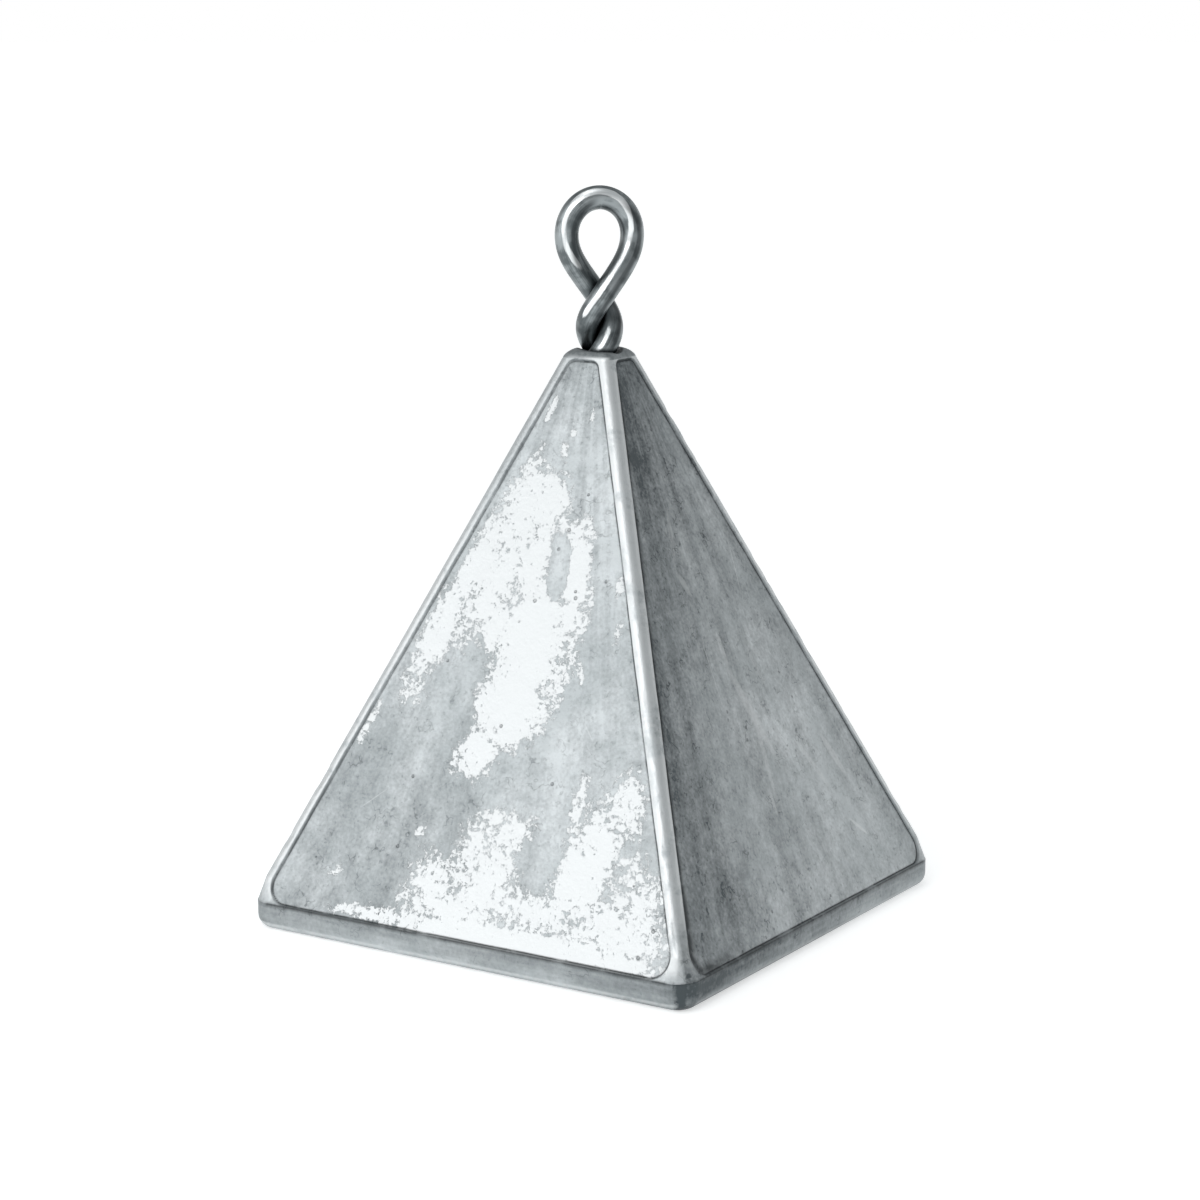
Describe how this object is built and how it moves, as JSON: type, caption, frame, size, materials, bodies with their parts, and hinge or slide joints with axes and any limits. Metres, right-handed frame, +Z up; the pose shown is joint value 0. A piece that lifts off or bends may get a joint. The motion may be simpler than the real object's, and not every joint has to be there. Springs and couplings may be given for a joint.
{
  "type": "fishing sinker",
  "caption": "Square pyramid fishing weight: a lead casting with sunk face panels and an upright band, and a twisted wire eye cast into its top.",
  "frame": {"origin": "middle of the flat base, on the surface that the sinker stands on", "axes": "+Z up through the middle of the casting and the eye; the four faces look along +X, -X, +Y and -Y; the wire eye lies in the upright plane through the corners at +X +Y and -X -Y"},
  "size_m": [0.0324, 0.0324, 0.0466],
  "materials": {
    "cast_lead": "satin",
    "steel_wire": "satin"
  },
  "bodies": {
    "root": {"lead_body": "cast_lead", "wire_eye": "steel_wire"}
  },
  "joints": []
}
